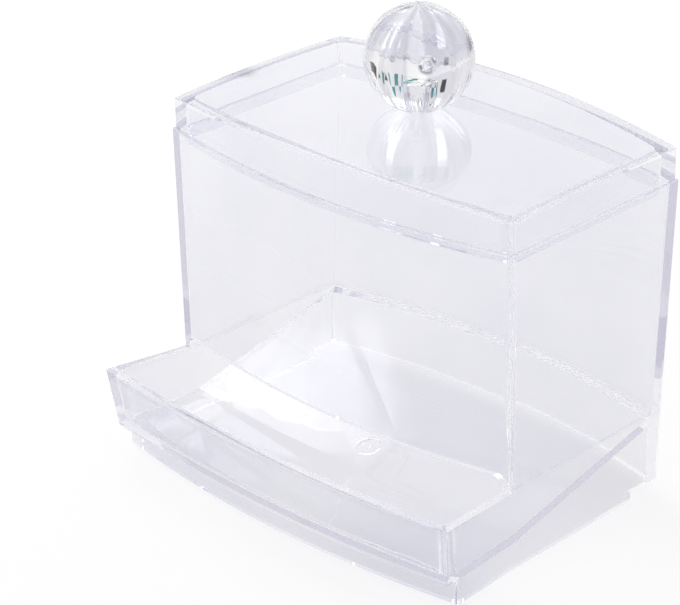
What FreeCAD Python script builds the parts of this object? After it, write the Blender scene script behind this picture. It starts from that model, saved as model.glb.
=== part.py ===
"""Clear moulded cotton swab holder: a tray base with a ramp, a box welded on it, and a lift-off lid.

Frame: millimetres, +Z up, +X to the right of someone facing the tray, -Y towards that person.
The origin is the middle of the holder's footprint, at the height it stands on.
"""
import FreeCAD
import Part
import Sketcher
import math
import os

DIMENSIONS = (
    # box: four thin walls, the front and back ones bowed outwards
    ("box_width", 92.0, "outer width at the rim"),
    ("box_depth", 49.1, "outer depth at the rim, from corner to corner"),
    ("front_bow", 5.5, "how far the middle of the front wall stands out"),
    ("back_bow", 3.5, "how far the middle of the back wall stands out"),
    ("back_bow_low", 5.8, "the same at the weld and below it"),
    ("side_draft", 0.2, "how far each side wall leans in by the seam"),
    ("front_draft", 1.0, "how far the front wall leans in by the seam"),
    ("back_draft", 2.3, "how far the back wall leans in by the seam"),
    ("box_wall", 1.8, "thickness of the box walls"),
    ("box_corner", 0.4, "outer radius of the box's upright corners"),
    ("box_inside", 0.6, "inner radius of those corners"),
    ("rim_height", 67.4, "height of the rim that the lid rests on"),
    ("seam_height", 17.3, "height of the weld between base and box"),
    ("mouth_height", 20.5, "height of the front wall's lower edge"),
    ("mouth_corner", 2.5, "radius of the two upper corners of the mouth"),
    # base: one moulding with tray, floor, ramp and foot
    ("tray_width", 95.8, "outer width at the two front rim corners"),
    ("tray_reach", 19.7, "how far the rim corners stand in front of the box"),
    ("tray_bow", 3.2, "how far the middle of the tray's rim stands out"),
    ("tray_rim", 18.6, "height of the tray's front rim"),
    ("tray_lean", 2.0, "how far the front wall leans out over its height"),
    ("tray_flare", 1.1, "how far each side leans out over its height"),
    ("tray_wall", 2.0, "thickness of the base's walls"),
    ("tray_corner", 0.6, "outer radius of the tray's front corners"),
    ("tray_inside", 2.0, "inner radius of the tray's front corners"),
    ("floor_round", 1.2, "inner radius between the floor and the tray's walls"),
    ("tray_underside", 0.8, "radius under the tray's front edge"),
    ("base_draft", 0.5, "how far the base's back wall leans in below the seam"),
    ("floor_height", 7.0, "top of the tray's floor"),
    ("floor_thickness", 2.0, "thickness of floor and ramp"),
    ("ramp_start", 3.0, "where the ramp begins behind the box's front corners"),
    ("ramp_bow", 4.0, "how far the middle of that line stands forward"),
    ("ramp_blend", 18.0, "radius that blends floor into ramp"),
    ("foot_setback", 3.1, "how far the foot stands behind the tray's lower edge"),
    ("foot_bow", 4.4, "how far the middle of the foot's front wall stands out"),
    ("foot_length", 52.6, "length of the foot's side walls"),
    ("foot_wall", 1.8, "thickness of the foot's front wall"),
    ("foot_corner", 0.5, "outer radius of the foot's front corners"),
    ("foot_inside", 1.0, "inner radius of the corners under the floor"),
    ("skirt_gap", 2.0, "height of the lower edge behind the foot"),
    # lid: crowned plate with a skirt outside and a locating lip inside
    ("lid_margin", 0.5, "how far the lid stays inside the rim's outline"),
    ("lid_skirt", 6.8, "height of the skirt at the corners"),
    ("lid_crown", 3.2, "how far the middle of the lid stands above its corners"),
    ("lid_plate", 2.0, "thickness of the top plate"),
    ("lid_corner", 0.4, "outer radius of the lid's upright corners"),
    ("lid_inside", 2.0, "inner radius of those corners"),
    ("lid_edge", 0.35, "radius round the top edge"),
    ("lip_gap", 0.3, "play between the lip and the box walls"),
    ("lip_wall", 1.1, "thickness of the lip"),
    ("lip_depth", 2.0, "how far the lip reaches into the box"),
    ("stud_radius", 2.0, "radius of the stud that carries the knob"),
    ("stud_height", 6.0, "height of that stud above the plate"),
    ("knob_radius", 11.0, "radius of the ball"),
    ("knob_flat", 3.6, "radius of the flat under the ball"),
    ("bore_gap", 0.05, "play round the stud in the ball"),
    ("bore_depth", 7.0, "depth of the ball's bore"),
)

doc = FreeCAD.newDocument("swab_holder")
sheet = doc.addObject("Spreadsheet::Sheet", "Sizes")
for row, (alias, number, note) in enumerate(DIMENSIONS, start=1):
    sheet.set(f"A{row}", alias)
    sheet.set(f"B{row}", str(number))
    sheet.set(f"C{row}", note)
    sheet.setAlias(f"B{row}", alias)
doc.recompute()


def size(formula):
    """Turns a formula of bare aliases into an expression that any object can hold."""
    words = []
    word = ""
    for letter in formula + " ":
        if letter.isalnum() or letter == "_":
            word += letter
            continue
        words.append(f"Sizes.{word}" if word in ALIASES else word)
        words.append(letter)
        word = ""
    return "".join(words).strip()


def number(formula):
    """The present value of a formula of aliases."""
    return float(sheet.evalExpression(size(formula)))


ALIASES = {alias for alias, _, _ in DIMENSIONS}
REACH = 60.0  # further than any edge of the holder, for blocks that only trim

# heights
UNDERSIDE = "(floor_height - floor_thickness)"
LID_TOP = "(rim_height + lid_skirt)"
CROWN_TOP = f"({LID_TOP} + lid_crown)"
# lines across the holder, from front to back
FRONT = "((tray_reach + tray_bow - box_depth - back_bow) / 2)"
FRONT_SEAM = f"({FRONT} + front_draft)"
BACK = f"({FRONT} + box_depth)"
BACK_SEAM = f"({BACK} - back_draft)"
BACK_LOW = f"({BACK_SEAM} - base_draft)"
TRAY_TOP = f"({FRONT} - tray_reach)"
TRAY_LOW = f"({TRAY_TOP} + tray_lean)"
FOOT_FRONT = f"({TRAY_LOW} + foot_setback)"
FOOT_BACK = f"({FOOT_FRONT} + foot_length)"
RAMP_START = f"({FRONT} + ramp_start)"
# half widths
HALF_TOP = "(box_width / 2)"
HALF_SEAM = "(box_width / 2 - side_draft)"
HALF_TRAY_TOP = "(tray_width / 2)"
HALF_TRAY_LOW = "(tray_width / 2 - tray_flare)"
HALF_FOOT = (f"({HALF_SEAM} + ({HALF_TRAY_LOW} - {HALF_SEAM})"
             f" * ({FRONT_SEAM} - {FOOT_FRONT}) / ({FRONT_SEAM} - {TRAY_LOW}))")


def drawn(name, height, corners, bows):
    """A closed outline at one height, with its corners in order round it.

    An edge with a bow is an arc, outwards, or inwards where the bow starts with a minus sign.
    """
    sketch = doc.addObject("Sketcher::SketchObject", name)
    sketch.setExpression("Placement.Base.z", size(height))
    points = [FreeCAD.Vector(number(x), number(y), 0) for x, y in corners]
    ends = []
    for edge, bow in enumerate(bows):
        start = points[edge]
        end = points[(edge + 1) % len(points)]
        # an arc always runs anticlockwise, so one that bows inwards starts at its edge's end
        ends.append((2, 1) if bow and bow.startswith("-") else (1, 2))
        if bow is None:
            sketch.addGeometry(Part.LineSegment(start, end))
            continue
        chord = end - start
        outward = FreeCAD.Vector(chord.y, -chord.x, 0).normalize()
        middle = (start + end) * 0.5 + outward * number(bow)
        sketch.addGeometry(Part.Arc(start, middle, end))
    for edge in range(len(corners)):
        following = (edge + 1) % len(corners)
        sketch.addConstraint(Sketcher.Constraint("Coincident", edge, ends[edge][1],
                                                 following, ends[following][0]))
    for edge, (x, y) in enumerate(corners):
        for kind, formula in (("DistanceX", x), ("DistanceY", y)):
            place = sketch.addConstraint(Sketcher.Constraint(kind, -1, 1, edge, ends[edge][0],
                                                             number(formula)))
            sketch.setExpression(f"Constraints[{place}]", size(formula))
    for edge, bow in enumerate(bows):
        if bow is None:
            continue
        half = corners[(edge + 1) % len(corners)][0]
        rise = bow.lstrip("-")
        radius = f"({half} * {half} + {rise} * {rise}) / (2 * {rise})"
        place = sketch.addConstraint(Sketcher.Constraint("Radius", edge, number(radius)))
        sketch.setExpression(f"Constraints[{place}]", size(radius))
    return sketch


def four_sided(name, height, half, front, back, front_bow, back_bow):
    """Outline of a box with bowed front and back edges."""
    corners = [(f"-{half}", front), (half, front), (half, back), (f"-{half}", back)]
    return drawn(name, height, corners, [front_bow, None, back_bow, None])


def six_sided(name, height, half_front, front, front_bow, half, bend, back, back_bow):
    """Outline of the base: the sides splay forward of the bend."""
    corners = [(f"-{half_front}", front), (half_front, front), (half, bend), (half, back),
               (f"-{half}", back), (f"-{half}", bend)]
    return drawn(name, height, corners, [front_bow, None, None, back_bow, None, None])


def lofted(name, *sections):
    """Straight-sided solid between two outlines."""
    solid = doc.addObject("Part::Loft", name)
    solid.Sections = list(sections)
    solid.Solid = True
    solid.Ruled = True
    return solid


def raised(name, outline, height):
    """Upright solid on an outline."""
    solid = doc.addObject("Part::Extrusion", name)
    solid.Base = outline
    solid.DirMode = "Custom"
    solid.Dir = FreeCAD.Vector(0, 0, 1)
    solid.Solid = True
    solid.setExpression("LengthFwd", size(height))
    return solid


def cut(name, base, *tools):
    """The base without the tools."""
    for step, tool in enumerate(tools):
        solid = doc.addObject("Part::Cut", name if step == len(tools) - 1 else f"{name}_{step}")
        solid.Base = base
        solid.Tool = tool
        base = solid
    return base


def joined(name, *pieces):
    """One solid made of several."""
    solid = doc.addObject("Part::MultiFuse", name)
    solid.Shapes = list(pieces)
    solid.Refine = True
    return solid


def shared(name, first, second):
    """What two solids have in common."""
    solid = doc.addObject("Part::Common", name)
    solid.Base = first
    solid.Tool = second
    return solid


def rounded(name, base, *choices):
    """Rounds edges in one go; each choice is a radius and the test that picks its edges."""
    doc.recompute()
    edges = []
    for radius, wanted in choices:
        found = [place for place, edge in enumerate(base.Shape.Edges, start=1) if wanted(edge)]
        if not found:
            raise RuntimeError(f"{name}: no edge for {radius}")
        edges += [(place, number(radius), number(radius)) for place in found]
    solid = doc.addObject("Part::Fillet", name)
    solid.Base = base
    solid.Edges = edges
    return solid


def upright(edge):
    """True for an edge that is steeper than 45 degrees."""
    first, last = edge.Vertexes[0].Point, edge.Vertexes[-1].Point
    return abs(last.z - first.z) > math.hypot(last.x - first.x, last.y - first.y)


def box_walls():
    """The box: bowed walls, open above and below, with a mouth in front."""
    outer = lofted("box_outer",
                   four_sided("box_outer_seam", "seam_height", HALF_SEAM, FRONT_SEAM, BACK_SEAM,
                              "front_bow", "back_bow_low"),
                   four_sided("box_outer_rim", "rim_height", HALF_TOP, FRONT, BACK,
                              "front_bow", "back_bow"))
    outer = rounded("box_outer_round", outer, ("box_corner", upright))
    inner = lofted("box_inner",
                   four_sided("box_inner_seam", "seam_height", f"({HALF_SEAM} - box_wall)",
                              f"({FRONT_SEAM} + box_wall)", f"({BACK_SEAM} - box_wall)",
                              "front_bow", "back_bow_low"),
                   four_sided("box_inner_rim", "rim_height", f"({HALF_TOP} - box_wall)",
                              f"({FRONT} + box_wall)", f"({BACK} - box_wall)",
                              "front_bow", "back_bow"))
    inner = rounded("box_inner_round", inner, ("box_inside", upright))
    mouth = doc.addObject("Part::Box", "mouth")
    mouth.setExpression("Length", size(f"2 * ({HALF_SEAM} - box_wall)"))
    mouth.setExpression("Width", size("front_bow + front_draft + box_wall + 2 * box_wall"))
    mouth.setExpression("Height", size("mouth_height"))
    mouth.setExpression("Placement.Base.x", size(f"-({HALF_SEAM} - box_wall)"))
    mouth.setExpression("Placement.Base.y", size(f"{FRONT} - front_bow - box_wall"))
    doc.recompute()
    top = number("mouth_height")

    def mouth_top(edge):
        """True for the two edges that run front to back at the top of the mouth."""
        first, last = (vertex.Point for vertex in edge.Vertexes)
        return abs(first.x - last.x) + abs(first.z - last.z) < 1e-6 and abs(first.z - top) < 1e-6

    mouth = rounded("mouth_round", mouth, ("mouth_corner", mouth_top))
    return cut("box_walls", outer, inner, mouth)


def side_profile(name, corners):
    """Block that spans the whole width, from a closed side view of (y, z) corners."""
    sketch = doc.addObject("Sketcher::SketchObject", name)
    # the sketch's own x and y become the holder's y and z
    sketch.Placement = FreeCAD.Placement(FreeCAD.Vector(-REACH, 0, 0),
                                         FreeCAD.Rotation(FreeCAD.Vector(1, 1, 1), 120))
    points = [FreeCAD.Vector(number(y), number(z), 0) for y, z in corners]
    for edge, start in enumerate(points):
        sketch.addGeometry(Part.LineSegment(start, points[(edge + 1) % len(points)]))
    for edge in range(len(points)):
        following = (edge + 1) % len(points)
        sketch.addConstraint(Sketcher.Constraint("Coincident", edge, 2, following, 1))
    for edge, pair in enumerate(corners):
        for kind, formula in zip(("DistanceX", "DistanceY"), pair):
            place = sketch.addConstraint(Sketcher.Constraint(kind, -1, 1, edge, 1, number(formula)))
            sketch.setExpression(f"Constraints[{place}]", size(formula))
    block = doc.addObject("Part::Extrusion", f"{name}_block")
    block.Base = sketch
    block.DirMode = "Custom"
    block.Dir = FreeCAD.Vector(1, 0, 0)
    block.Solid = True
    block.LengthFwd = 2 * REACH
    return block


def under_slope(name, drop):
    """Everything under the ramp's surface, which climbs from a bowed line to the back wall."""
    low = four_sided(f"{name}_low", f"floor_height - {drop}", HALF_SEAM, RAMP_START,
                     "2 * box_depth", "ramp_bow", None)
    high = four_sided(f"{name}_high", f"seam_height - {drop}", HALF_SEAM, BACK_SEAM,
                      "2 * box_depth", "-back_bow_low", None)
    return lofted(name, low, high)


def base_tray():
    """The base: tray, floor, ramp, foot and rear skirt in one moulding."""
    seam_share = f"(tray_rim - seam_height) / (seam_height - {UNDERSIDE})"
    back_top = f"({BACK_SEAM} + base_draft * {seam_share})"
    outer = lofted("base_outer",
                   six_sided("base_outer_low", UNDERSIDE, HALF_TRAY_LOW, TRAY_LOW, "tray_bow",
                             HALF_SEAM, FRONT_SEAM, BACK_LOW, "back_bow_low"),
                   six_sided("base_outer_top", "tray_rim", HALF_TRAY_TOP, TRAY_TOP, "tray_bow",
                             HALF_SEAM, FRONT_SEAM, back_top, "back_bow_low"))
    bend = number(FRONT_SEAM)
    low = number(UNDERSIDE)

    def tray_upright(edge):
        """True for the two front corners."""
        return upright(edge) and edge.Vertexes[0].Point.y < bend - 1

    def rear_upright(edge):
        """True for the two back corners."""
        return upright(edge) and edge.Vertexes[0].Point.y > bend + 1

    def under_edge(edge):
        """True for the edges round the underside."""
        return max(vertex.Point.z for vertex in edge.Vertexes) < low + 1e-6

    outer = rounded("base_outer_round", outer, ("tray_corner", tray_upright),
                    ("box_corner", rear_upright), ("tray_underside", under_edge))
    inner = lofted("base_inner",
                   six_sided("base_inner_low", UNDERSIDE, f"({HALF_TRAY_LOW} - tray_wall)",
                             f"({TRAY_LOW} + tray_wall)", "tray_bow",
                             f"({HALF_SEAM} - tray_wall)", FRONT_SEAM,
                             f"({BACK_LOW} - tray_wall)", "back_bow_low"),
                   six_sided("base_inner_top", "tray_rim", f"({HALF_TRAY_TOP} - tray_wall)",
                             f"({TRAY_TOP} + tray_wall)", "tray_bow",
                             f"({HALF_SEAM} - tray_wall)", FRONT_SEAM,
                             f"({back_top} - tray_wall)", "back_bow_low"))
    inner = rounded("base_inner_round", inner, ("box_inside", rear_upright))
    floor = raised("floor_block",
                   four_sided("floor_outline", UNDERSIDE, "tray_width", "-2 * box_depth",
                              "2 * box_depth", None, None), "floor_thickness")
    ramp = under_slope("ramp_block", "0")
    hollow = cut("tray_hollow", inner, floor, ramp)
    floor_level = number("floor_height")

    def level(edge):
        """True for an edge that lies in the floor."""
        return all(abs(vertex.Point.z - floor_level) < 1e-6 for vertex in edge.Vertexes)

    def across(edge):
        """True for an edge that runs from one side to the other."""
        return edge.Vertexes[0].Point.x * edge.Vertexes[-1].Point.x < 0

    def crease(edge):
        """True for the line where the ramp leaves the floor."""
        return level(edge) and across(edge) and edge.Vertexes[0].Point.y > bend

    def floor_edge(edge):
        """True for the front edge of the floor."""
        return level(edge) and across(edge) and edge.Vertexes[0].Point.y < bend

    hollow = rounded("tray_hollow_round", hollow, ("ramp_blend", crease),
                     ("tray_inside", tray_upright), ("floor_round", floor_edge))

    foot = raised("foot_outer",
                  six_sided("foot_outline", "0", HALF_FOOT, FOOT_FRONT, "foot_bow",
                            HALF_SEAM, FRONT_SEAM, FOOT_BACK, None),
                  f"{UNDERSIDE} + tray_underside")
    foot = rounded("foot_round", foot, ("foot_corner", tray_upright))
    skirt = raised("skirt_outer",
                   four_sided("skirt_outline", "skirt_gap", HALF_SEAM,
                              f"({FOOT_BACK} - foot_wall)", BACK_LOW, None, "back_bow_low"),
                   f"{UNDERSIDE} + tray_underside - skirt_gap")
    behind = number(FOOT_BACK)

    def skirt_upright(edge):
        """True for the two back corners of the skirt."""
        return upright(edge) and edge.Vertexes[0].Point.y > behind

    skirt = rounded("skirt_round", skirt, ("box_corner", skirt_upright))
    chamber = raised("chamber",
                     six_sided("chamber_outline", "0",
                               f"({HALF_FOOT} - tray_wall)", f"({FOOT_FRONT} + foot_wall)",
                               "foot_bow", f"({HALF_SEAM} - tray_wall)", FRONT_SEAM,
                               f"({BACK_LOW} - tray_wall)", "back_bow_low"), "seam_height")
    chamber = rounded("chamber_round", chamber, ("foot_inside", tray_upright),
                      ("foot_inside", rear_upright))
    under_ramp = under_slope("under_ramp", "floor_thickness")
    below = raised("below_floor",
                   four_sided("below_outline", "0", "tray_width", "-2 * box_depth",
                              "2 * box_depth", None, None), UNDERSIDE)
    hollow_below = shared("hollow_below", chamber, joined("below_ramp", below, under_ramp))

    rim_start = f"({FRONT_SEAM} - box_wall)"
    slope = f"((tray_rim - seam_height) / ({rim_start} - {TRAY_TOP}))"
    front_far = f"({TRAY_TOP} - tray_reach)"
    trim = side_profile("rim_trim", [
        ("2 * box_depth", "seam_height"), ("2 * box_depth", "2 * rim_height"),
        (front_far, "2 * rim_height"), (front_far, f"tray_rim + {slope} * tray_reach"),
        (rim_start, "seam_height")])
    body = joined("base_body", outer, foot, skirt)
    return cut("base_tray", body, hollow, hollow_below, trim)


def lid_cover():
    """The lid: crowned plate, skirt, locating lip and the stud for the knob."""
    half = f"({HALF_TOP} - lid_margin)"
    corner = f"({half} ^ 2 + (box_depth / 2 - lid_margin) ^ 2)"
    radius = f"(({corner} + lid_crown ^ 2) / (2 * lid_crown))"
    front = f"({FRONT} + lid_margin)"
    back = f"({BACK} - lid_margin)"
    lip_side = "(box_wall + lip_gap)"
    lip_inner = "(box_wall + lip_gap + lip_wall)"
    lip_low = "(rim_height - lip_depth)"

    def crown(name, inset):
        """Large ball that shapes the lid's top, or the hollow under it."""
        dome = doc.addObject("Part::Sphere", name)
        dome.setExpression("Radius", size(f"{radius} - {inset}"))
        dome.setExpression("Placement.Base.y", size(f"({front} + {back}) / 2"))
        dome.setExpression("Placement.Base.z", size(f"{CROWN_TOP} - {radius}"))
        return dome

    block = shared("lid_crowned",
                   raised("lid_block",
                          four_sided("lid_outline", "rim_height", half, front, back,
                                     "front_bow", "back_bow"),
                          "lid_skirt + 2 * lid_crown"),
                   crown("lid_dome", "0"))
    middle = number(f"({LID_TOP} + rim_height) / 2")

    def top_edge(edge):
        """True for the edges round the crowned top."""
        return min(vertex.Point.z for vertex in edge.Vertexes) > middle

    block = rounded("lid_round", block, ("lid_corner", upright), ("lid_edge", top_edge))
    lip = raised("lip_block",
                 four_sided("lip_outline", lip_low, f"({HALF_TOP} - {lip_side})",
                            f"({FRONT} + {lip_side})", f"({BACK} - {lip_side})",
                            "front_bow", "back_bow"), "lip_depth + lid_skirt / 2")
    lip = rounded("lip_round", lip, ("box_inside - lip_gap", upright))
    room = raised("lid_hollow_block",
                  four_sided("lid_hollow_outline", lip_low, f"({HALF_TOP} - {lip_inner})",
                             f"({FRONT} + {lip_inner})", f"({BACK} - {lip_inner})",
                             "front_bow", "back_bow"),
                  "lip_depth + lid_skirt + 2 * lid_crown")
    room = rounded("lid_hollow_round", room, ("lid_inside", upright))
    hollow = shared("lid_hollow", room, crown("lid_hollow_dome", "lid_plate"))
    stud = doc.addObject("Part::Cylinder", "stud")
    stud.setExpression("Radius", size("stud_radius"))
    stud.setExpression("Height", size("stud_height + lid_plate / 2"))
    stud.setExpression("Placement.Base.y", size(f"({front} + {back}) / 2"))
    stud.setExpression("Placement.Base.z", size(f"{CROWN_TOP} - lid_plate / 2"))
    shell = cut("lid_shell", joined("lid_solid", block, lip), hollow)
    return joined("lid_cover", shell, stud)


def ball_knob():
    """The knob: a solid ball with a small flat and a blind bore over the lid's stud."""
    middle = f"(({FRONT} + {BACK}) / 2)"
    ball = doc.addObject("Part::Sphere", "ball")
    ball.setExpression("Radius", size("knob_radius"))
    centre = f"({CROWN_TOP} + sqrt(knob_radius ^ 2 - knob_flat ^ 2))"
    ball.setExpression("Placement.Base.y", size(middle))
    ball.setExpression("Placement.Base.z", size(centre))
    seat = doc.addObject("Part::Box", "seat_block")
    for side in ("Length", "Width"):
        seat.setExpression(side, size("4 * knob_radius"))
    seat.setExpression("Height", size("knob_radius"))
    seat.setExpression("Placement.Base.x", size("-2 * knob_radius"))
    seat.setExpression("Placement.Base.y", size(f"{middle} - 2 * knob_radius"))
    seat.setExpression("Placement.Base.z", size(f"{CROWN_TOP} - knob_radius"))
    bore = doc.addObject("Part::Cylinder", "bore")
    bore.setExpression("Radius", size("stud_radius + bore_gap"))
    bore.setExpression("Height", size("bore_depth"))
    bore.setExpression("Placement.Base.y", size(middle))
    bore.setExpression("Placement.Base.z", size(CROWN_TOP))
    return cut("ball_knob", ball, seat, bore)


parts = {
    "base_tray": base_tray(),
    "box_walls": box_walls(),
    "lid_cover": lid_cover(),
    "ball_knob": ball_knob(),
}
doc.recompute()

for item in doc.Objects:
    if {"Invalid", "Error"} & set(item.State):
        raise RuntimeError(f"{item.Name} failed: {item.State}")
for name, item in parts.items():
    item.Label = name
    shape = item.Shape
    if shape.isNull() or not shape.isValid() or len(shape.Solids) != 1:
        raise RuntimeError(f"{name} is not one valid solid: {len(shape.Solids)}")

os.makedirs("parts", exist_ok=True)
for name, item in parts.items():
    item.Shape.exportStep(f"parts/{name}.step")
    box = item.Shape.optimalBoundingBox()
    print(f"{name}: {item.Shape.Volume:.1f} mm3, x {box.XMin:.2f}..{box.XMax:.2f},"
          f" y {box.YMin:.2f}..{box.YMax:.2f}, z {box.ZMin:.2f}..{box.ZMax:.2f}")
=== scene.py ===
import logging
import math
from dataclasses import dataclass
from enum import Enum

import bpy
from mathutils import Matrix, Vector


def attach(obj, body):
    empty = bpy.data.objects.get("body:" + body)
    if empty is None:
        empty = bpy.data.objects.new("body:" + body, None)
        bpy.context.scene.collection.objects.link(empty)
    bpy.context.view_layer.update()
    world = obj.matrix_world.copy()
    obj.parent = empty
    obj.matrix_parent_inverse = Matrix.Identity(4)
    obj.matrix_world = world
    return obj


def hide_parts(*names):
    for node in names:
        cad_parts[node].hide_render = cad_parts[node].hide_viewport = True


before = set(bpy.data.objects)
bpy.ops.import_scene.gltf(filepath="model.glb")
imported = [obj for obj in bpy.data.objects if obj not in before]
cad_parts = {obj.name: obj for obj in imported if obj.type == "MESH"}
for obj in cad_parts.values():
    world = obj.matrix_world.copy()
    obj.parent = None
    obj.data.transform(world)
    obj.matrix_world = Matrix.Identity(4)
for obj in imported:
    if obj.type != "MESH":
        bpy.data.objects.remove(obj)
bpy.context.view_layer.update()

LOG = logging.getLogger("swab_holder")

Colour = tuple[float, float, float]
Point = tuple[float, float, float]
Stops = tuple[float, float]
Socket = bpy.types.NodeSocket
Value = Socket | float | tuple[float, ...]

MM = 0.001

# Plain colours, and those of the cards that stand in the room.
WHITE: Colour = (1.0, 1.0, 1.0)
NONE: Colour = (0.0, 0.0, 0.0)
BLACK: Colour = (0.004, 0.004, 0.008)
TEAL: Colour = (0.06, 0.34, 0.34)
WINDOW: Colour = (3.2, 3.2, 3.2)

# How far light is followed: its turns inside a wall before the floor and the room look plain
# white to it, its bounces in all, and the brightest value that one bounced ray may bring.
TURNS_TO_WHITE = 1
MOST_BOUNCES = 32
BRIGHTEST_RAY = 3.0

# How meshes are closed and smoothed: points nearer than these are one, thinner faces go, and
# a face whose normal points down further than this is an underside.
SAME_POINT = 0.001 * MM
SEAM_MERGE = 0.02 * MM
SLIVER = 0.005 * MM
SMOOTH_BELOW = math.radians(30)
FACES_DOWN = -0.9


class Body(Enum):
    """The two bodies of the holder that move against each other."""

    HOLDER = "holder"
    LID = "lid"


class Node(Enum):
    """The moulded pieces of the holder."""

    BASE = "base_tray"
    BOX = "box_walls"
    LID = "lid_cover"
    KNOB = "ball_knob"


def rgba(colour: Colour) -> tuple[float, float, float, float]:
    """An opaque colour with its fourth channel."""
    return (*colour, 1.0)


class NodeBench:
    """Lays shader nodes into one tree and wires them."""

    FIRST_COLOUR = 6
    SECOND_COLOUR = 7
    MIXED_COLOUR = 2

    def __init__(self, tree: bpy.types.NodeTree) -> None:
        """Takes over a tree and empties it.

        Args:
            tree: The node tree of a material or a world.
        """
        self.tree = tree
        self.tree.nodes.clear()

    def add(self, kind: str, **settings: object) -> bpy.types.Node:
        """Adds a node.

        Args:
            kind: The node's type name.
            **settings: Properties of the node, such as its operation.

        Returns:
            The new node.
        """
        node = self.tree.nodes.new(kind)
        for name, value in settings.items():
            setattr(node, name, value)
        return node

    def wire(self, source: Socket, target: Socket) -> None:
        """Joins an output to an input."""
        self.tree.links.new(source, target)

    def feed(self, target: Socket, value: Value) -> None:
        """Gives an input its value.

        Args:
            target: The input.
            value: An output to join it to, or the number or colour to set on it.
        """
        if isinstance(value, bpy.types.NodeSocket):
            self.wire(value, target)
        else:
            target.default_value = value

    def math(self, operation: str, first: Value, second: Value = 0.0) -> Socket:
        """Adds one step of arithmetic.

        Args:
            operation: The Math node's operation.
            first: A number or an output.
            second: A number or an output.

        Returns:
            The result's output.
        """
        node = self.add("ShaderNodeMath", operation=operation)
        self.feed(node.inputs[0], first)
        self.feed(node.inputs[1], second)
        return node.outputs[0]

    def vector(self, operation: str, first: Socket,
               second: Value = (0.0, 0.0, 0.0)) -> bpy.types.Node:
        """Adds one step of vector arithmetic.

        Args:
            operation: The Vector Math node's operation.
            first: An output.
            second: A vector or an output.

        Returns:
            The node.
        """
        node = self.add("ShaderNodeVectorMath", operation=operation)
        self.feed(node.inputs[0], first)
        self.feed(node.inputs[1], second)
        return node

    def coordinates(self) -> Socket:
        """Adds the piece's own coordinates."""
        return self.add("ShaderNodeTexCoord").outputs["Object"]

    def split(self, vector: Socket) -> bpy.types.Node:
        """Splits a vector.

        Args:
            vector: The vector.

        Returns:
            The node with the outputs X, Y and Z.
        """
        node = self.add("ShaderNodeSeparateXYZ")
        self.wire(vector, node.inputs[0])
        return node

    def noise(self, size: float, detail: float = 2.0) -> Socket:
        """Adds a noise pattern in the piece's own coordinates.

        Args:
            size: How wide one patch of the pattern is, in metres.
            detail: How many finer layers it has.

        Returns:
            The pattern's output, from 0 to 1.
        """
        pattern = self.add("ShaderNodeTexNoise")
        pattern.inputs["Scale"].default_value = 1.0 / size
        pattern.inputs["Detail"].default_value = detail
        self.wire(self.coordinates(), pattern.inputs["Vector"])
        return pattern.outputs["Fac"]

    def bell(self, off: Socket) -> Socket:
        """Adds a smooth bump that is 1 where its input is 0 and fades out past 1.

        Args:
            off: How far from the top, in units of the bump's width.

        Returns:
            The bump's height.
        """
        return self.math("EXPONENT", self.math("MULTIPLY", self.math("MULTIPLY", off, off), -1.0))

    def smooth_step(self, value: Socket, start: float, end: float, low: float = 0.0,
                    high: float = 1.0) -> Socket:
        """Adds a smooth change from one level to another.

        Args:
            value: What drives it.
            start: Where it leaves the low level.
            end: Where it reaches the high level.
            low: The level at the start.
            high: The level at the end.

        Returns:
            The level.
        """
        node = self.add("ShaderNodeMapRange", interpolation_type="SMOOTHSTEP")
        self.wire(value, node.inputs["Value"])
        node.inputs["From Min"].default_value = start
        node.inputs["From Max"].default_value = end
        node.inputs["To Min"].default_value = low
        node.inputs["To Max"].default_value = high
        return node.outputs[0]

    def ramp(self, source: Socket, stops: Stops, first: Colour, last: Colour) -> Socket:
        """Adds a ramp between two colours.

        Args:
            source: The output that drives it.
            stops: Where it leaves the first colour and where it reaches the last.
            first: The colour below the first stop.
            last: The colour above the last stop.

        Returns:
            The ramp's colour output.
        """
        node = self.add("ShaderNodeValToRGB")
        for element, place, colour in zip(node.color_ramp.elements, stops, (first, last)):
            element.position = place
            element.color = rgba(colour)
        self.wire(source, node.inputs["Fac"])
        return node.outputs["Color"]

    def mix(self, share: Value, first: Value, second: Value, way: str = "MIX") -> Socket:
        """Adds a mix of two colours.

        Args:
            share: How much of the second there is, as a number or an output.
            first: A colour with its fourth channel, or an output.
            second: A colour with its fourth channel, or an output.
            way: The blend type.

        Returns:
            The mixed colour.
        """
        node = self.add("ShaderNodeMix", data_type="RGBA", blend_type=way)
        self.feed(node.inputs["Factor"], share)
        self.feed(node.inputs[self.FIRST_COLOUR], first)
        self.feed(node.inputs[self.SECOND_COLOUR], second)
        return node.outputs[self.MIXED_COLOUR]

    def mix_shaders(self, share: Socket, first: Socket, second: Socket) -> Socket:
        """Adds a mix of two shaders.

        Args:
            share: How much of the second there is.
            first: A shader's output.
            second: A shader's output.

        Returns:
            The mixed shader.
        """
        node = self.add("ShaderNodeMixShader")
        self.wire(share, node.inputs["Fac"])
        self.wire(first, node.inputs[1])
        self.wire(second, node.inputs[2])
        return node.outputs[0]

    def through_plastic(self, path: bpy.types.Node) -> Socket:
        """Finds the light that comes by way of a shiny or clear surface.

        Args:
            path: The Light Path node.

        Returns:
            1 for that light and 0 for the rest.
        """
        return self.math("MAXIMUM", path.outputs["Is Glossy Ray"],
                         path.outputs["Is Transmission Ray"])

    def spent(self, path: bpy.types.Node, most_turns: int) -> Socket:
        """Finds the light that was thrown back too often inside a wall.

        Args:
            path: The Light Path node.
            most_turns: How often it may be thrown back.

        Returns:
            1 for that light and 0 for the rest.
        """
        return self.math("GREATER_THAN", path.outputs["Glossy Depth"], most_turns)


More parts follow.
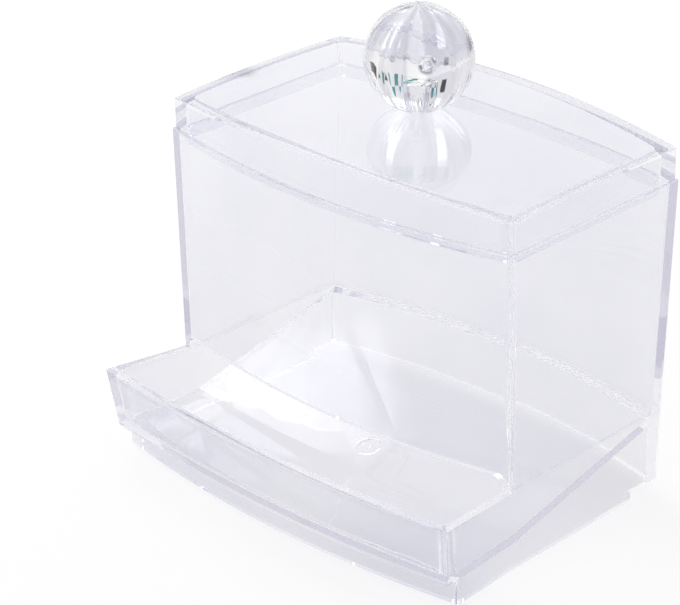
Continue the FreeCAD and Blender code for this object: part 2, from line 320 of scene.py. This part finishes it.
@dataclass(frozen=True)
class Weld:
    """The line where two mouldings are bonded: slightly cloudy and uneven."""

    height: float = 17.3 * MM
    half_width: float = 0.22 * MM
    roughness: float = 0.25
    wander_size: float = 2 * MM
    wander_detail: float = 3.0

    def over(self, bench: NodeBench, scuffs: Socket) -> Socket:
        """Lays the cloudy line over the roughness round it.

        Args:
            bench: Where the nodes go.
            scuffs: The roughness behind.

        Returns:
            The roughness of both.
        """
        height = bench.split(bench.coordinates()).outputs["Z"]
        wander = bench.math("MULTIPLY", bench.noise(self.wander_size, self.wander_detail),
                            self.half_width)
        away = bench.math("ABSOLUTE", bench.math("SUBTRACT", height, self.height))
        inside = bench.math("LESS_THAN", bench.math("SUBTRACT", away, wander), self.half_width)
        return bench.math("MAXIMUM", scuffs, bench.math("MULTIPLY", inside, self.roughness))


@dataclass(frozen=True)
class RingMark:
    """A small round flaw in the ball: a raised ring, darkened in uneven arcs, with a speck in it.
    """

    place: Point
    ring_radius: float = 1.5 * MM
    ring_width: float = 0.35 * MM
    ring_height: float = 0.5
    nub_radius: float = 0.4 * MM
    nub_height: float = 0.3
    ring_dark: Colour = (0.12, 0.12, 0.14)
    arc_size: float = 1.4 * MM
    arc_detail: float = 0.0
    arc_stops: Stops = (0.42, 0.56)

    def _away(self, bench: NodeBench) -> Socket:
        """Measures the distance from the middle of the mark."""
        return bench.vector("DISTANCE", bench.coordinates(), self.place).outputs["Value"]

    def _ring(self, bench: NodeBench, away: Socket) -> Socket:
        """Draws the ring as a smooth ridge, 1 along its top."""
        off = bench.math("SUBTRACT", away, self.ring_radius)
        return bench.bell(bench.math("DIVIDE", off, self.ring_width))

    def relief(self, bench: NodeBench) -> Socket:
        """Raises the ring and the speck in it.

        Args:
            bench: Where the nodes go.

        Returns:
            The height in millimetres.
        """
        away = self._away(bench)
        ring = bench.math("MULTIPLY", self._ring(bench, away), self.ring_height)
        off_nub = bench.math("DIVIDE", away, self.nub_radius)
        nub = bench.math("MULTIPLY", bench.bell(off_nub), self.nub_height)
        return bench.math("ADD", ring, nub)

    def darkened(self, bench: NodeBench, colour: Socket) -> Socket:
        """Darkens the ring in uneven arcs.

        Args:
            bench: Where the nodes go.
            colour: The colour of the plastic round it.

        Returns:
            The colour with the darkened ring in it.
        """
        arcs = bench.ramp(bench.noise(self.arc_size, self.arc_detail), self.arc_stops, NONE, WHITE)
        amount = bench.math("MULTIPLY", self._ring(bench, self._away(bench)), arcs)
        return bench.mix(amount, colour, rgba(self.ring_dark))


@dataclass(frozen=True)
class FlowStreaks:
    """Upright streaks round an axis: flow waves raised by the plastic flowing up a thick ball,
    darkened by painted shade that stands in for the dark surroundings seen in it.
    """

    axis: tuple[float, float]
    count: float = 3.1
    detail: float = 0.6
    drift: float = 16.0
    height: float = 0.9
    shade_low: Colour = (0.66, 0.66, 0.71)
    shade_stops: Stops = (0.38, 0.54)

    def pattern(self, bench: NodeBench) -> Socket:
        """Draws the streaks.

        Args:
            bench: Where the nodes go.

        Returns:
            A value from 0 to 1 that changes round the axis and hardly along it.
        """
        place = bench.split(bench.coordinates())
        level = bench.add("ShaderNodeCombineXYZ")
        bench.wire(bench.math("SUBTRACT", place.outputs["X"], self.axis[0]), level.inputs["X"])
        bench.wire(bench.math("SUBTRACT", place.outputs["Y"], self.axis[1]), level.inputs["Y"])
        lift = bench.add("ShaderNodeCombineXYZ")
        bench.wire(bench.math("MULTIPLY", place.outputs["Z"], self.drift), lift.inputs["Z"])
        outward = bench.vector("NORMALIZE", level.outputs[0]).outputs["Vector"]
        along = bench.vector("ADD", outward, lift.outputs[0]).outputs["Vector"]
        noise = bench.add("ShaderNodeTexNoise")
        noise.inputs["Scale"].default_value = self.count
        noise.inputs["Detail"].default_value = self.detail
        bench.wire(along, noise.inputs["Vector"])
        return noise.outputs["Fac"]

    def over(self, bench: NodeBench, pattern: Socket, colour: Socket) -> Socket:
        """Darkens a colour along the streaks, as painted shade for the dark surroundings seen in
        the ball.

        Args:
            bench: Where the nodes go.
            pattern: The streaks.
            colour: The tint behind.

        Returns:
            The tint of both.
        """
        shades = bench.ramp(pattern, self.shade_stops, self.shade_low, WHITE)
        return bench.mix(1.0, colour, shades, "MULTIPLY")


@dataclass(frozen=True)
class PaintedFrontShade:
    """Painted shade that darkens the tint toward the front, lifted by a patchy painted glow near
    the middle of the front; it stands in for the shadow and caustic light on the floor seen
    through the tray.
    """

    colour: Colour = (0.905, 0.905, 0.948)
    begins: float = 0.0
    ends: float = -32 * MM
    glow_place: float = 8 * MM
    glow_width: float = 18 * MM
    patch_size: float = 9 * MM
    patch_detail: float = 1.0
    patch_stops: Stops = (0.3, 0.7)
    patch_low: Colour = (0.85, 0.85, 0.85)

    def over(self, bench: NodeBench, colour: Socket) -> Socket:
        """Lays painted shade over a colour toward the front, less of it where the patchy painted
        glow lies near the middle of the front.

        Args:
            bench: Where the nodes go.
            colour: The tint behind.

        Returns:
            The tint of both.
        """
        place = bench.split(bench.coordinates())
        # Painted shade grows toward the front; a patchy painted glow near the middle takes some of
        # it away.
        shade_amount = bench.smooth_step(place.outputs["Y"], self.begins, self.ends)
        off = bench.math("SUBTRACT", place.outputs["X"], self.glow_place)
        painted_glow = bench.bell(bench.math("DIVIDE", off, self.glow_width))
        patches = bench.ramp(bench.noise(self.patch_size, self.patch_detail), self.patch_stops,
                             self.patch_low, WHITE)
        uneven = bench.math("SUBTRACT", 1.0, bench.math("MULTIPLY", painted_glow, patches))
        return bench.mix(bench.math("MULTIPLY", shade_amount, uneven), colour, rgba(self.colour))


@dataclass(frozen=True)
class ClearPlastic:
    """Polished clear plastic, as it comes out of the mould."""

    name: str
    tint: Colour
    tint_pools: Colour
    pool_size: float = 30 * MM
    pool_stops: Stops = (0.35, 0.75)
    clarity: float = 0.98
    ior: float = 1.5
    scuff_size: float = 6 * MM
    scuff_detail: float = 6.0
    scuff_stops: Stops = (0.55, 0.85)
    scuff_roughness: float = 0.02
    flow_size: float = 16 * MM
    flow_detail: float = 1.0
    flow_height: float = 0.02
    edge_shade: Colour = (0.90, 0.895, 0.93)
    shade: Colour = (0.972, 0.972, 0.98)
    shade_slant: Colour = (0.66, 0.66, 0.71)
    slant_stops: Stops = (0.55, 0.97)
    most_turns: int = 2
    weld: Weld | None = None
    mark: RingMark | None = None
    streaks: FlowStreaks | None = None
    # Painted shade toward the front, with a painted glow in it, where there is one.
    painted_front_shade: PaintedFrontShade | None = None

    def material(self) -> bpy.types.Material:
        """Builds the finish.

        Returns:
            The new material.
        """
        material = bpy.data.materials.new(self.name)
        material.use_nodes = True
        bench = NodeBench(material.node_tree)
        plastic = bench.add("ShaderNodeBsdfPrincipled")
        plastic.inputs["Transmission Weight"].default_value = self.clarity
        plastic.inputs["IOR"].default_value = self.ior
        pattern = self.streaks.pattern(bench) if self.streaks else None
        bench.wire(self._colour(bench, pattern), plastic.inputs["Base Color"])
        bench.wire(self._roughness(bench), plastic.inputs["Roughness"])
        bump = bench.add("ShaderNodeBump")
        bump.inputs["Distance"].default_value = MM
        bench.wire(self._relief(bench, pattern), bump.inputs["Height"])
        bench.wire(bump.outputs["Normal"], plastic.inputs["Normal"])
        out = bench.add("ShaderNodeOutputMaterial")
        bench.wire(self._let_out(bench, plastic.outputs[0]), out.inputs["Surface"])
        return material

    def _colour(self, bench: NodeBench, pattern: Socket | None) -> Socket:
        """The faint tint in pools, with the streaks' painted shade, the painted shade and glow of
        the front, and the darkened ring mark where they are.

        Args:
            bench: Where the nodes go.
            pattern: The pattern of the streaks.

        Returns:
            The colour.
        """
        colour = bench.ramp(bench.noise(self.pool_size), self.pool_stops, self.tint,
                            self.tint_pools)
        # Painted shade along the knob's streaks, where there are any.
        if pattern is not None:
            colour = self.streaks.over(bench, pattern, colour)
        # Painted shade toward the front, with its painted glow.
        if self.painted_front_shade is not None:
            colour = self.painted_front_shade.over(bench, colour)
        if self.mark is not None:
            colour = self.mark.darkened(bench, colour)
        return colour

    def _roughness(self, bench: NodeBench) -> Socket:
        """Fine scuffs on a polished surface, and the cloudy weld where there is one.

        Args:
            bench: Where the nodes go.

        Returns:
            The roughness.
        """
        scuffs = bench.ramp(bench.noise(self.scuff_size, self.scuff_detail), self.scuff_stops,
                            NONE, (self.scuff_roughness,) * 3)
        return scuffs if self.weld is None else self.weld.over(bench, scuffs)

    def _relief(self, bench: NodeBench, pattern: Socket | None) -> Socket:
        """Faint flow waves, and the streaks and ring mark where there are any.

        Args:
            bench: Where the nodes go.
            pattern: The pattern of the streaks.

        Returns:
            The height in millimetres.
        """
        height = bench.math("MULTIPLY", bench.noise(self.flow_size, self.flow_detail),
                            self.flow_height)
        if pattern is not None:
            height = bench.math("ADD", height,
                                bench.math("MULTIPLY", pattern, self.streaks.height))
        if self.mark is not None:
            height = bench.math("ADD", height, self.mark.relief(bench))
        return height

    def _let_out(self, bench: NodeBench, plastic: Socket) -> Socket:
        """Lets shadows fall lightly, and lets light out of the wall after a few turns in it.

        Args:
            bench: Where the nodes go.
            plastic: The clear plastic itself.

        Returns:
            The surface as light meets it.
        """
        slant = bench.add("ShaderNodeLayerWeight")
        cast = bench.ramp(slant.outputs["Facing"], self.slant_stops, self.shade, self.shade_slant)
        path = bench.add("ShaderNodeLightPath")
        see_through = bench.add("ShaderNodeBsdfTransparent")
        bench.wire(bench.mix(path.outputs["Is Shadow Ray"], rgba(self.edge_shade), cast),
                   see_through.inputs["Color"])
        matt = bench.math("MAXIMUM", path.outputs["Is Shadow Ray"], path.outputs["Is Diffuse Ray"])
        straight = bench.math("MAXIMUM", matt, bench.spent(path, self.most_turns))
        return bench.mix_shaders(straight, plastic, see_through.outputs[0])


@dataclass(frozen=True)
class PaleFloor:
    """Matt white floor that shows the holder's shadow."""

    name: str = "pale_floor"
    colour: Colour = (0.9, 0.9, 0.9)
    matt_beside: float = 0.35
    glow_beside: float = 0.72
    matt_through: float = 0.75
    glow_through: float = 0.33

    def material(self) -> bpy.types.Material:
        """Builds the finish.

        Returns:
            The new material.
        """
        material = bpy.data.materials.new(self.name)
        material.use_nodes = True
        bench = NodeBench(material.node_tree)
        path = bench.add("ShaderNodeLightPath")
        matt = bench.add("ShaderNodeBsdfDiffuse")
        matt.inputs["Color"].default_value = rgba(self.colour)
        beside = self._lit(bench, self.matt_beside, self.glow_beside)
        through = self._lit(bench, self.matt_through, self.glow_through)
        inner = bench.mix_shaders(bench.through_plastic(path), matt.outputs[0], through)
        seen = bench.mix_shaders(path.outputs["Is Camera Ray"], inner, beside)
        even = bench.add("ShaderNodeEmission")
        whole = bench.mix_shaders(bench.spent(path, TURNS_TO_WHITE), seen, even.outputs[0])
        out = bench.add("ShaderNodeOutputMaterial")
        bench.wire(whole, out.inputs["Surface"])
        return material

    @staticmethod
    def _lit(bench: NodeBench, matt: float, glow: float) -> Socket:
        """Adds a matt white that also glows.

        Args:
            bench: Where the nodes go.
            matt: How much of it answers the light.
            glow: How much of it glows.

        Returns:
            The shader's output.
        """
        part = bench.add("ShaderNodeBsdfDiffuse")
        part.inputs["Color"].default_value = rgba((matt, matt, matt))
        shine = bench.add("ShaderNodeEmission")
        shine.inputs["Strength"].default_value = glow
        both = bench.add("ShaderNodeAddShader")
        bench.wire(part.outputs[0], both.inputs[0])
        bench.wire(shine.outputs[0], both.inputs[1])
        return both.outputs[0]


def clear_selection() -> None:
    """Leaves nothing selected, so that an operator acts only on what is picked next."""
    if bpy.context.object is not None and bpy.context.object.mode != "OBJECT":
        bpy.ops.object.mode_set(mode="OBJECT")
    bpy.ops.object.select_all(action="DESELECT")


def dress(node: Node, material: bpy.types.Material) -> None:
    """Gives a moulded piece its finish.

    Args:
        node: The piece.
        material: The finish that every slot of it gets.
    """
    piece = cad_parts[node.value]
    for slot in piece.material_slots:
        slot.material = material
    LOG.info("%s dressed in %s", piece.name, material.name)


@dataclass(frozen=True)
class Card:
    """A dark or bright thing standing in the room, which only clear and shiny parts show."""

    turn: float
    rise: float
    half_width: float
    half_height: float
    colour: Colour
    firm_part: float = 0.75

    def mask(self, bench: NodeBench, toward: Socket, rise: Socket) -> Socket:
        """Finds the directions that meet the card.

        Args:
            bench: Where the nodes go.
            toward: The direction of the look.
            rise: The upward part of it.

        Returns:
            1 on the card and 0 off it, with a soft edge.
        """
        turn = math.radians(self.turn)
        ahead = bench.vector("DOT_PRODUCT", toward,
                             (math.sin(turn), -math.cos(turn), 0.0)).outputs["Value"]
        across = bench.vector("DOT_PRODUCT", toward,
                              (math.cos(turn), math.sin(turn), 0.0)).outputs["Value"]
        sideways = bench.math("ABSOLUTE", bench.math("DIVIDE", across, ahead))
        off_level = bench.math("ABSOLUTE", bench.math("SUBTRACT", rise,
                                                      math.sin(math.radians(self.rise))))
        facing = bench.math("GREATER_THAN", ahead, 0.0)
        wide = self._within(bench, sideways, self.half_width)
        high = self._within(bench, off_level, self.half_height)
        return bench.math("MULTIPLY", bench.math("MULTIPLY", wide, high), facing)

    def _within(self, bench: NodeBench, off: Socket, half: float) -> Socket:
        """Turns a distance, as the sine of an angle, into a soft-edged mask of so many degrees."""
        reach = math.sin(math.radians(half))
        return bench.smooth_step(off, reach, reach * self.firm_part)


@dataclass(frozen=True)
class Softbox:
    """The one lamp: a soft light high up at the left."""

    name: str = "softbox_left"
    place: Point = (-0.75, 0.3, 0.85)
    aim: Point = (0.0, 0.0, 50 * MM)
    sides: tuple[float, float] = (0.45, 0.45)
    power: float = 6.5

    def build(self) -> None:
        """Hangs the lamp and keeps its own shape out of reflections."""
        data = bpy.data.lights.new(self.name, "AREA")
        data.shape = "RECTANGLE"
        data.size, data.size_y = self.sides
        data.energy = self.power
        lamp = bpy.data.objects.new(self.name, data)
        bpy.context.scene.collection.objects.link(lamp)
        lamp.location = self.place
        lamp.visible_glossy = False
        lamp.visible_transmission = False
        lamp.rotation_mode = "QUATERNION"
        lamp.rotation_quaternion = (Vector(self.aim) - Vector(self.place)).to_track_quat("-Z", "Y")
        LOG.info("lamp %s", self.name)


@dataclass
class Studio:
    """The floor, the surroundings and the lamp."""

    floor_size: float = 1.1
    floor_drop: float = 0.2 * MM
    finish: PaleFloor = PaleFloor()
    lamp: Softbox = Softbox()
    ambient: float = 0.48
    white: float = 1.0
    sky: float = 2.0
    sky_from: float = 38.0
    sky_full: float = 65.0
    cards: tuple[Card, ...] = (
        Card(-160, 32, 5.0, 13.0, WINDOW),
        Card(-120, 30, 4.5, 12.0, WINDOW),
        Card(-83, 44, 7.0, 8.0, WINDOW),
        Card(-128, 8, 3.0, 7.0, BLACK),
        Card(-116, 4, 2.5, 7.0, BLACK),
        Card(-149, 8, 4.0, 7.0, TEAL),
        Card(-73, 19, 8.0, 12.0, BLACK),
        Card(179, -5, 15.0, 7.0, BLACK),
        Card(-158, -4, 5.0, 7.0, TEAL),
        Card(150, 4, 5.0, 9.0, TEAL),
    )

    def build(self) -> None:
        """Lays the floor, fills the world and hangs the lamp."""
        self._floor()
        self._world()
        self.lamp.build()

    def _floor(self) -> None:
        """Lays the plain floor."""
        clear_selection()
        bpy.ops.mesh.primitive_plane_add(size=self.floor_size, location=(0, 0, -self.floor_drop))
        floor = bpy.context.object
        floor.name = "floor"
        floor.data.materials.append(self.finish.material())

    def _world(self) -> None:
        """Fills the surroundings: even light, plain white, and a room for clear things to show."""
        world = bpy.data.worlds.new("surroundings")
        bpy.context.scene.world = world
        world.use_nodes = True
        bench = NodeBench(world.node_tree)
        path = bench.add("ShaderNodeLightPath")
        soft = self._background(bench, rgba(WHITE), self.ambient)
        plain = self._background(bench, rgba(WHITE), self.white)
        room = self._background(bench, self._room(bench), self.white)
        lit = bench.mix_shaders(bench.through_plastic(path), soft, room)
        straight = bench.math("MAXIMUM", path.outputs["Is Camera Ray"],
                              bench.spent(path, TURNS_TO_WHITE))
        out = bench.add("ShaderNodeOutputWorld")
        bench.wire(bench.mix_shaders(straight, lit, plain), out.inputs["Surface"])

    @staticmethod
    def _background(bench: NodeBench, colour: Value, strength: float) -> Socket:
        """Adds one kind of surroundings.

        Args:
            bench: Where the nodes go.
            colour: Its colour with the fourth channel, or an output.
            strength: How bright it is.

        Returns:
            The shader's output.
        """
        node = bench.add("ShaderNodeBackground")
        bench.feed(node.inputs["Color"], colour)
        node.inputs["Strength"].default_value = strength
        return node.outputs[0]

    def _room(self, bench: NodeBench) -> Socket:
        """White all round, brighter overhead, with the cards standing in it.

        Args:
            bench: Where the nodes go.

        Returns:
            The colour of the room in each direction.
        """
        toward = bench.add("ShaderNodeTexCoord").outputs["Generated"]
        rise = bench.split(toward).outputs["Z"]
        low, high = (math.sin(math.radians(angle)) for angle in (self.sky_from, self.sky_full))
        sky = bench.smooth_step(rise, low, high, self.white, self.sky)
        grey = bench.add("ShaderNodeCombineXYZ")
        for axis in "XYZ":
            bench.wire(sky, grey.inputs[axis])
        colour = grey.outputs[0]
        for card in self.cards:
            colour = bench.mix(card.mask(bench, toward, rise), colour, rgba(card.colour))
        return colour


@dataclass
class Viewpoint:
    """The camera in front of the holder's right-hand corner."""

    azimuth: float = 45.4
    elevation: float = 26.0
    roll: float = -1.05
    distance: float = 522.9 * MM
    target: Point = (0.0, -21.08 * MM, 46.78 * MM)
    lens: float = 141.8
    sensor: float = 36.0
    shift: tuple[float, float] = (0.0418, -0.0097)
    nearest: float = 10 * MM

    def build(self) -> None:
        """Places the camera."""
        turn, rise, tilt = map(math.radians, (self.azimuth, self.elevation, self.roll))
        back = Vector((math.sin(turn) * math.cos(rise), -math.cos(turn) * math.cos(rise),
                       math.sin(rise)))
        level = Vector((math.cos(turn), math.sin(turn), 0))
        upward = back.cross(level)
        across = level * math.cos(tilt) + upward * math.sin(tilt)
        up = upward * math.cos(tilt) - level * math.sin(tilt)
        data = bpy.data.cameras.new("camera")
        data.sensor_width = self.sensor
        data.sensor_fit = "HORIZONTAL"
        data.lens = self.lens
        data.shift_x, data.shift_y = self.shift
        data.clip_start = self.nearest
        camera = bpy.data.objects.new("camera", data)
        bpy.context.scene.collection.objects.link(camera)
        pose = Matrix((across, up, back)).transposed().to_4x4()
        pose.translation = Vector(self.target) + back * self.distance
        camera.matrix_world = pose
        bpy.context.scene.camera = camera


def moulding_copy(node: Node, material: bpy.types.Material, name: str) -> bpy.types.Object:
    """Copies a moulded piece and closes its mesh.

    Args:
        node: The piece.
        material: The finish of the copy.
        name: The copy's name.

    Returns:
        The copy, at the origin.
    """
    clear_selection()
    copy = bpy.data.objects.new(name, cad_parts[node.value].data.copy())
    copy.data.materials.clear()
    copy.data.materials.append(material)
    bpy.context.scene.collection.objects.link(copy)
    copy.select_set(True)
    bpy.context.view_layer.objects.active = copy
    bpy.ops.mesh.customdata_custom_splitnormals_clear()
    bpy.ops.object.mode_set(mode="EDIT")
    bpy.ops.mesh.select_all(action="SELECT")
    bpy.ops.mesh.remove_doubles(threshold=SAME_POINT)
    bpy.ops.object.mode_set(mode="OBJECT")
    return copy


def bonded(whole: bpy.types.Object, others: tuple[bpy.types.Object, ...]) -> bpy.types.Object:
    """Joins closed meshes into one skin, with no walls left inside.

    Args:
        whole: The mesh that takes up the others.
        others: The meshes to join to it. They are used up.

    Returns:
        The joined piece.
    """
    for other in others:
        clear_selection()
        whole.select_set(True)
        bpy.context.view_layer.objects.active = whole
        bond = whole.modifiers.new("bond", "BOOLEAN")
        bond.operation = "UNION"
        bond.solver = "EXACT"
        bond.material_mode = "TRANSFER"
        bond.object = other
        bpy.ops.object.modifier_apply(modifier=bond.name)
        bpy.data.objects.remove(other)
    bpy.ops.object.mode_set(mode="EDIT")
    bpy.ops.mesh.select_all(action="SELECT")
    bpy.ops.mesh.remove_doubles(threshold=SEAM_MERGE)
    bpy.ops.mesh.dissolve_degenerate(threshold=SLIVER)
    bpy.ops.object.mode_set(mode="OBJECT")
    bpy.ops.object.shade_smooth_by_angle(angle=SMOOTH_BELOW)
    LOG.info("%s: %d faces", whole.name, len(whole.data.polygons))
    return whole


@dataclass(frozen=True)
class GateMark:
    """The low round pad under the ramp's foot, where the plastic ran into the mould."""

    place: Point = (0.9 * MM, -6.4 * MM, 6.81 * MM)
    tilt: float = 10.9
    radius: float = 2.7 * MM
    stand: float = 0.3 * MM
    root: float = 0.6 * MM
    rim: float = 0.5 * MM
    dish: float = 0.2 * MM
    nub_radius: float = 0.8 * MM
    nub_stand: float = 0.5 * MM
    nub_taper: float = 0.6
    corners: int = 48

    def build(self, material: bpy.types.Material) -> bpy.types.Object:
        """Models the pad with its raised rim and the broken-off nub in the middle.

        Args:
            material: The finish of the moulding that it belongs to.

        Returns:
            The pad, with its root inside the ramp.
        """
        clear_selection()
        bpy.ops.mesh.primitive_cylinder_add(vertices=self.corners, radius=self.radius,
                                            depth=self.stand + self.root,
                                            location=(0.0, 0.0, (self.root - self.stand) / 2))
        pad = bpy.context.object
        bpy.ops.object.transform_apply(location=True, rotation=True, scale=True)
        pad.data.materials.append(material)
        bpy.ops.object.mode_set(mode="EDIT")
        bpy.ops.mesh.select_mode(type="FACE")
        bpy.ops.mesh.select_all(action="DESELECT")
        bpy.ops.object.mode_set(mode="OBJECT")
        for face in pad.data.polygons:
            face.select = face.normal.z < FACES_DOWN
        bpy.ops.object.mode_set(mode="EDIT")
        bpy.ops.mesh.inset(thickness=self.rim)
        bpy.ops.transform.translate(value=(0.0, 0.0, self.dish))
        bpy.ops.mesh.inset(thickness=self.radius - self.rim - self.nub_radius)
        bpy.ops.mesh.extrude_region_move(
            TRANSFORM_OT_translate={"value": (0.0, 0.0, -self.nub_stand)})
        bpy.ops.transform.resize(value=(self.nub_taper, self.nub_taper, 1.0))
        bpy.ops.object.mode_set(mode="OBJECT")
        pad.location = self.place
        pad.rotation_euler.x = math.radians(self.tilt)
        bpy.ops.object.transform_apply(location=True, rotation=True, scale=True)
        return pad


@dataclass
class Holder:
    """The fixed half: the base with its tray, and the box bonded onto it."""

    # The base carries the painted shade and glow toward its front.
    base_finish: ClearPlastic = ClearPlastic(
        "base_clear", tint=(0.985, 0.986, 0.992), tint_pools=(0.96, 0.96, 0.978), weld=Weld(),
        painted_front_shade=PaintedFrontShade())
    box_finish: ClearPlastic = ClearPlastic(
        "box_clear", tint=(0.958, 0.96, 0.981), tint_pools=(0.915, 0.915, 0.955), weld=Weld(),
        edge_shade=(0.86, 0.855, 0.895))
    gate: GateMark = GateMark()

    def build(self) -> None:
        """Bonds the box and the gate mark onto the base and dresses them."""
        tray = moulding_copy(Node.BASE, self.base_finish.material(), "holder_shell")
        walls = moulding_copy(Node.BOX, self.box_finish.material(), "walls")
        pad = self.gate.build(tray.data.materials[0])
        shell = bonded(tray, (walls, pad))
        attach(shell, Body.HOLDER.value)
        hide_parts(Node.BASE.value, Node.BOX.value)


@dataclass
class Lid:
    """The lift-off half: the crowned cover with its ball knob."""

    cover_finish: ClearPlastic = ClearPlastic(
        "lid_clear", tint=(0.935, 0.937, 0.968), tint_pools=(0.88, 0.88, 0.935), most_turns=1,
        edge_shade=(0.985, 0.985, 0.99))
    # The knob's streaks are raised flow waves, darkened by painted shade.
    knob_finish: ClearPlastic = ClearPlastic(
        "knob_clear", tint=(0.955, 0.955, 0.968), tint_pools=(0.94, 0.94, 0.955), most_turns=3,
        edge_shade=(0.96, 0.96, 0.965), streaks=FlowStreaks(axis=(0.0, 9.7 * MM)),
        mark=RingMark(place=(8.4 * MM, 3.0 * MM, 90.2 * MM)))

    def build(self) -> None:
        """Dresses the cover and the knob."""
        dress(Node.LID, self.cover_finish.material())
        dress(Node.KNOB, self.knob_finish.material())


def set_light_paths() -> None:
    """Lets light run long ways inside the clear walls, where it is thrown from side to side."""
    cycles = bpy.context.scene.cycles
    cycles.max_bounces = MOST_BOUNCES
    cycles.glossy_bounces = MOST_BOUNCES
    cycles.transmission_bounces = MOST_BOUNCES
    cycles.transparent_max_bounces = MOST_BOUNCES
    cycles.sample_clamp_indirect = BRIGHTEST_RAY


def main() -> None:
    """Builds the scene in order."""
    logging.basicConfig(level=logging.INFO, format="%(message)s")
    bpy.context.scene.view_settings.view_transform = "Standard"
    Viewpoint().build()
    Studio().build()
    Holder().build()
    Lid().build()
    set_light_paths()


if __name__ == "__main__":
    main()
